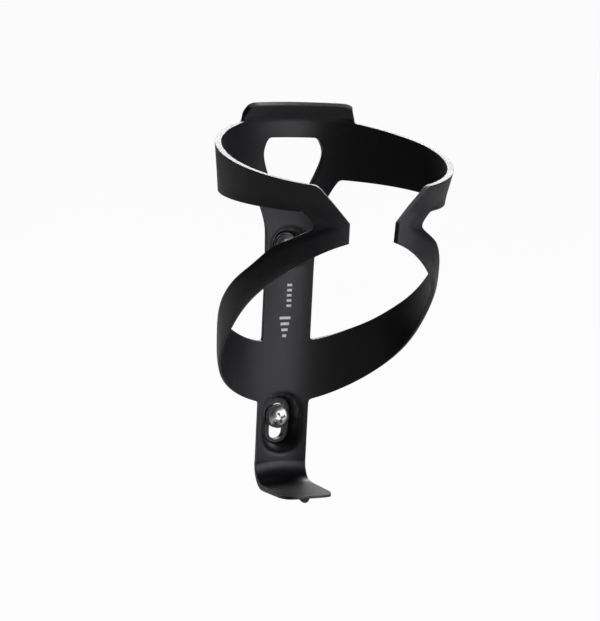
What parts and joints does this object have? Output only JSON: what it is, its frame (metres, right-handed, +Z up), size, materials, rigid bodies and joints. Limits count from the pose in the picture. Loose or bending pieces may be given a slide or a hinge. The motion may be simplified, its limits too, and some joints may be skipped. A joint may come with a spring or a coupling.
{
  "type": "water bottle cage",
  "caption": "Moulded plastic bottle cage with a ring and two wrap-around arms that grip a bottle, fixed to a bicycle frame by bolts and washers, the lower one in a slot.",
  "frame": {"origin": "centre of the two-bolt pattern, on the face of the cage that meets the frame tube", "axes": "+Y points from the cage into the frame tube, along both bolts; +Z runs up along the bottle, from the foot to the thumb tab; +X is the other sideways direction, and the cage is a mirror image across x = 0"},
  "size_m": [0.0802, 0.0904, 0.14],
  "materials": {
    "cage_plastic": "satin black moulding",
    "bolt_steel": "polished stainless",
    "washer_steel": "plain stainless"
  },
  "bodies": {
    "cage": {"cage_body": "cage_plastic"},
    "upper_bolt_body": {"upper_bolt": "bolt_steel"},
    "upper_washer_body": {"upper_washer": "washer_steel"},
    "lower_washer_body": {"lower_washer": "washer_steel"},
    "lower_bolt_body": {"lower_bolt": "bolt_steel"}
  },
  "joints": [
    {"name": "upper_bolt_turn", "type": "hinge", "parent": "cage", "child": "upper_bolt_body", "pos_m": [0, 0, 0.032], "axis": [0, 1, 0], "continuous": true},
    {"name": "upper_washer_turn", "type": "hinge", "parent": "upper_bolt_body", "child": "upper_washer_body", "pos_m": [0, 0, 0.032], "axis": [0, 1, 0], "continuous": true},
    {"name": "lower_slot_slide", "type": "slide", "parent": "cage", "child": "lower_washer_body", "axis": [0, 0, 1], "range_m": [-0.0056, 0.0022]},
    {"name": "lower_bolt_turn", "type": "hinge", "parent": "lower_washer_body", "child": "lower_bolt_body", "pos_m": [0, 0, -0.032], "axis": [0, 1, 0], "continuous": true}
  ]
}
